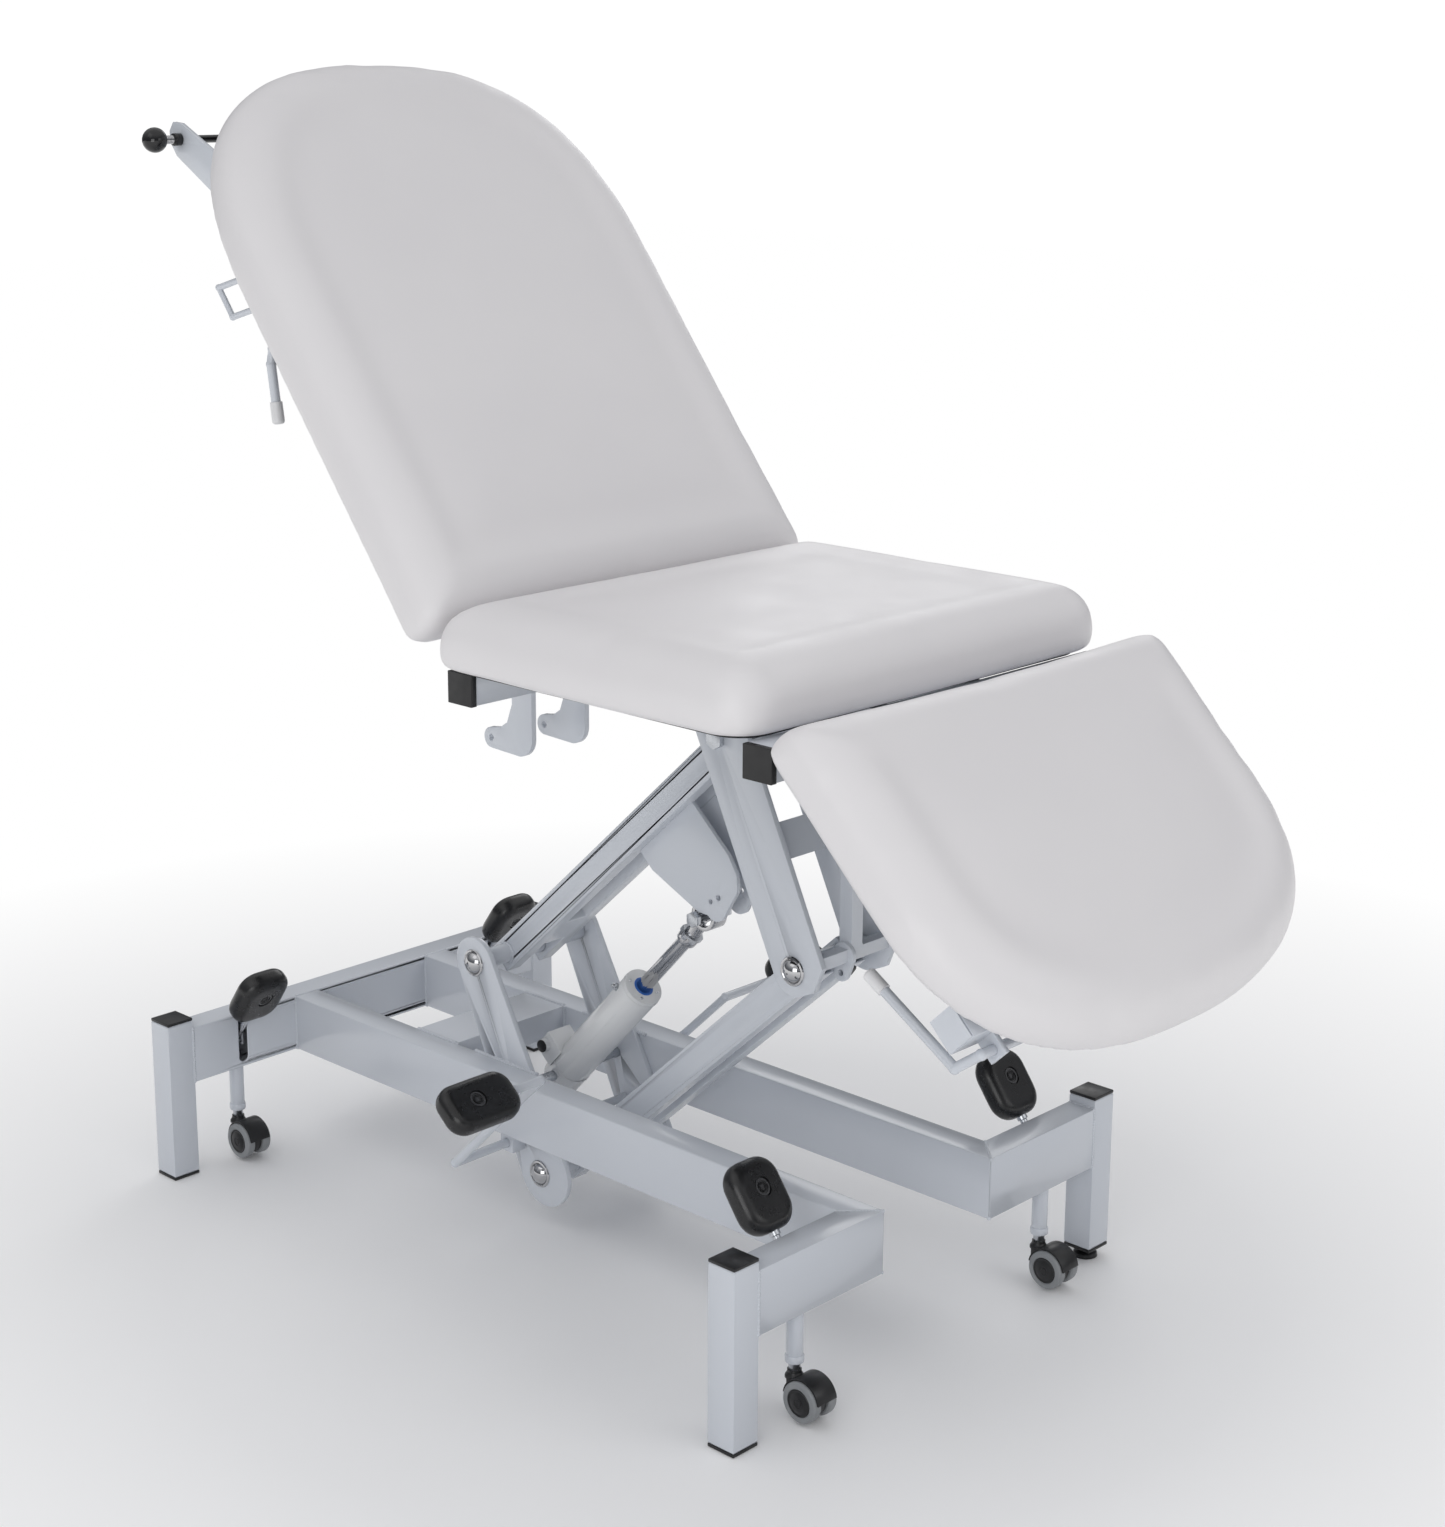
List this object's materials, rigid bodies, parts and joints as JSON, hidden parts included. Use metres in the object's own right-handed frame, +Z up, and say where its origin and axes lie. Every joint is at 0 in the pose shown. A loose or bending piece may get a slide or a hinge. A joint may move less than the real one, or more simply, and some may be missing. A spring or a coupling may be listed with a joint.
{
  "type": "hydraulic examination couch",
  "caption": "Three-section padded examination couch on a hydraulic parallel-arm lift and a steel base with foot pedals and retractable castors.",
  "frame": {"origin": "centre of the bounding box's footprint, on the floor", "axes": "+X across the couch to its right-hand side, +Y along it towards the head, +Z up"},
  "size_m": [0.744, 1.464, 1.5171],
  "materials": {
    "frame_paint": "gloss powder coat",
    "cylinder_paint": "gloss",
    "chrome": "polished",
    "zinc": "satin zinc plate",
    "black_plastic": "matte",
    "black_rubber": "matte",
    "black_gloss": "gloss",
    "tread": "matte",
    "vinyl": "smooth satin artificial leather",
    "board": "bare plywood"
  },
  "bodies": {
    "base": {"head_beam": "frame_paint", "left_rail": "frame_paint", "right_rail": "frame_paint", "foot_beams": "frame_paint", "mid_crossbar": "frame_paint", "corner_posts": "frame_paint", "post_caps": "black_plastic", "bracket_plates": "frame_paint", "base_axles": "zinc", "base_dome_caps": "chrome", "castor_guides": "frame_paint", "lever_brackets": "frame_paint", "pedal_bearings": "frame_paint"},
    "foot_screw": {"levelling_foot": "black_plastic"},
    "upper_arm": {"upper_arm_tubes": "frame_paint", "upper_arm_sleeves": "frame_paint", "gusset_plates": "frame_paint", "gusset_bolt": "zinc"},
    "lower_arm": {"lower_arm_tubes": "frame_paint", "lower_arm_sleeves": "frame_paint"},
    "seat_carriage": {"link_plates": "frame_paint", "link_crossmembers": "frame_paint", "link_axles": "zinc", "link_dome_caps": "chrome", "seat_frame": "frame_paint", "seat_tube_caps": "black_plastic", "rear_hook_plates": "frame_paint", "hinge_pins": "zinc", "seat_board": "board", "seat_cushion": "vinyl"},
    "cylinder": {"cylinder_barrel": "cylinder_paint", "pump_block": "cylinder_paint"},
    "piston": {"piston_rod": "chrome"},
    "pedal": {"pump_pedal": "frame_paint", "pedal_pads": "black_rubber"},
    "backrest": {"backrest_frame": "frame_paint", "backrest_board": "board", "backrest_cushion": "vinyl"},
    "roll": {"roll_rod": "black_gloss"},
    "backrest_release": {"backrest_lever": "frame_paint"},
    "leg_section": {"leg_frame": "frame_paint", "leg_board": "board", "leg_cushion": "vinyl"},
    "leg_release": {"leg_lever": "frame_paint"},
    "lever_head_left": {"castor_lever_head_left": "black_rubber"},
    "stem_head_left": {"castor_stem_head_left": "zinc"},
    "swivel_head_left": {"castor_hood_head_left": "black_plastic"},
    "wheel_head_left": {"castor_wheel_head_left": "tread"},
    "lever_head_right": {"castor_lever_head_right": "black_rubber"},
    "stem_head_right": {"castor_stem_head_right": "zinc"},
    "swivel_head_right": {"castor_hood_head_right": "black_plastic"},
    "wheel_head_right": {"castor_wheel_head_right": "tread"},
    "lever_foot_left": {"castor_lever_foot_left": "black_rubber"},
    "stem_foot_left": {"castor_stem_foot_left": "zinc"},
    "swivel_foot_left": {"castor_hood_foot_left": "black_plastic"},
    "wheel_foot_left": {"castor_wheel_foot_left": "tread"},
    "lever_foot_right": {"castor_lever_foot_right": "black_rubber"},
    "stem_foot_right": {"castor_stem_foot_right": "zinc"},
    "swivel_foot_right": {"castor_hood_foot_right": "black_plastic"},
    "wheel_foot_right": {"castor_wheel_foot_right": "tread"}
  },
  "joints": [
    {"name": "foot_adjust", "type": "slide", "parent": "base", "child": "foot_screw", "axis": [0, 0, 1], "range_m": [0, 0.003]},
    {"name": "lift", "type": "hinge", "parent": "base", "child": "upper_arm", "pos_m": [0, 0.351, 0.3385], "axis": [-1, 0, 0], "range_deg": [-38, 8]},
    {"name": "lower_arm_turn", "type": "hinge", "parent": "base", "child": "lower_arm", "pos_m": [0, 0.226, 0.0745], "axis": [-1, 0, 0], "range_deg": [-38, 8]},
    {"name": "carriage_level", "type": "hinge", "parent": "upper_arm", "child": "seat_carriage", "pos_m": [0, -0.06623, 0.71948], "axis": [-1, 0, 0], "range_deg": [-8, 38]},
    {"name": "cylinder_tilt", "type": "hinge", "parent": "base", "child": "cylinder", "pos_m": [0, 0.277, 0.178], "axis": [-1, 0, 0], "range_deg": [-35.2, 7.5]},
    {"name": "piston_slide", "type": "slide", "parent": "cylinder", "child": "piston", "axis": [0, -0.6808, 0.7324], "range_m": [-0.1145, 0.0245]},
    {"name": "pedal_press", "type": "hinge", "parent": "base", "child": "pedal", "pos_m": [0, 0.262, 0.116], "axis": [1, 0, 0], "range_deg": [0, 25], "stiffness_Nm_per_rad": 12, "springref_deg": -20.05},
    {"name": "backrest_tilt", "type": "hinge", "parent": "seat_carriage", "child": "backrest", "pos_m": [0, 0.19198, 0.79201], "axis": [1, 0, 0], "range_deg": [-52.2, 0]},
    {"name": "roll_turn", "type": "hinge", "parent": "backrest", "child": "roll", "pos_m": [0, 0.7063, 1.40628], "axis": [1, 0, 0], "continuous": true},
    {"name": "backrest_release_pull", "type": "hinge", "parent": "backrest", "child": "backrest_release", "pos_m": [0, 0.47807, 1.15935], "axis": [1, 0, 0], "range_deg": [0, 15], "stiffness_Nm_per_rad": 2, "springref_deg": -28.65},
    {"name": "leg_tilt", "type": "hinge", "parent": "seat_carriage", "child": "leg_section", "pos_m": [0, -0.35901, 0.79199], "axis": [-1, 0, 0], "range_deg": [0, 45.3]},
    {"name": "leg_release_pull", "type": "hinge", "parent": "leg_section", "child": "leg_release", "pos_m": [0, -0.61802, 0.52044], "axis": [1, 0, 0], "range_deg": [0, 15], "stiffness_Nm_per_rad": 2, "springref_deg": -28.65},
    {"name": "lever_press_head_left", "type": "hinge", "parent": "base", "child": "lever_head_left", "pos_m": [-0.232, 0.712, 0.168], "axis": [1, 0, 0], "range_deg": [0, 30]},
    {"name": "stem_drop_head_left", "type": "slide", "parent": "base", "child": "stem_head_left", "axis": [0, 0, -1], "range_m": [0, 0.012]},
    {"name": "castor_swivel_head_left", "type": "hinge", "parent": "stem_head_left", "child": "swivel_head_left", "pos_m": [-0.232, 0.712, 0.06], "axis": [0, 0, 1], "continuous": true},
    {"name": "castor_roll_head_left", "type": "hinge", "parent": "swivel_head_left", "child": "wheel_head_left", "pos_m": [-0.232, 0.688, 0.028], "axis": [1, 0, 0], "continuous": true},
    {"name": "lever_press_head_right", "type": "hinge", "parent": "base", "child": "lever_head_right", "pos_m": [0.232, 0.712, 0.168], "axis": [1, 0, 0], "range_deg": [0, 30]},
    {"name": "stem_drop_head_right", "type": "slide", "parent": "base", "child": "stem_head_right", "axis": [0, 0, -1], "range_m": [0, 0.012]},
    {"name": "castor_swivel_head_right", "type": "hinge", "parent": "stem_head_right", "child": "swivel_head_right", "pos_m": [0.232, 0.712, 0.06], "axis": [0, 0, 1], "continuous": true},
    {"name": "castor_roll_head_right", "type": "hinge", "parent": "swivel_head_right", "child": "wheel_head_right", "pos_m": [0.232, 0.688, 0.028], "axis": [1, 0, 0], "continuous": true},
    {"name": "lever_press_foot_left", "type": "hinge", "parent": "base", "child": "lever_foot_left", "pos_m": [-0.232, -0.346, 0.168], "axis": [-1, 0, 0], "range_deg": [0, 30]},
    {"name": "stem_drop_foot_left", "type": "slide", "parent": "base", "child": "stem_foot_left", "axis": [0, 0, -1], "range_m": [0, 0.012]},
    {"name": "castor_swivel_foot_left", "type": "hinge", "parent": "stem_foot_left", "child": "swivel_foot_left", "pos_m": [-0.232, -0.346, 0.06], "axis": [0, 0, 1], "continuous": true},
    {"name": "castor_roll_foot_left", "type": "hinge", "parent": "swivel_foot_left", "child": "wheel_foot_left", "pos_m": [-0.232, -0.37, 0.028], "axis": [1, 0, 0], "continuous": true},
    {"name": "lever_press_foot_right", "type": "hinge", "parent": "base", "child": "lever_foot_right", "pos_m": [0.232, -0.346, 0.168], "axis": [-1, 0, 0], "range_deg": [0, 30]},
    {"name": "stem_drop_foot_right", "type": "slide", "parent": "base", "child": "stem_foot_right", "axis": [0, 0, -1], "range_m": [0, 0.012]},
    {"name": "castor_swivel_foot_right", "type": "hinge", "parent": "stem_foot_right", "child": "swivel_foot_right", "pos_m": [0.232, -0.346, 0.06], "axis": [0, 0, 1], "continuous": true},
    {"name": "castor_roll_foot_right", "type": "hinge", "parent": "swivel_foot_right", "child": "wheel_foot_right", "pos_m": [0.232, -0.37, 0.028], "axis": [1, 0, 0], "continuous": true}
  ],
  "couplings": [
    {"joint": "lower_arm_turn", "follows": "lift", "ratio": 1},
    {"joint": "carriage_level", "follows": "lift", "ratio": -1},
    {"joint": "cylinder_tilt", "follows": "lift", "ratio": 0.925},
    {"joint": "piston_slide", "follows": "lift", "m_per_rad": 0.172},
    {"joint": "stem_drop_head_left", "follows": "lever_press_head_left", "m_per_rad": 0.0229},
    {"joint": "stem_drop_head_right", "follows": "lever_press_head_right", "m_per_rad": 0.0229},
    {"joint": "stem_drop_foot_left", "follows": "lever_press_foot_left", "m_per_rad": 0.0229},
    {"joint": "stem_drop_foot_right", "follows": "lever_press_foot_right", "m_per_rad": 0.0229}
  ]
}
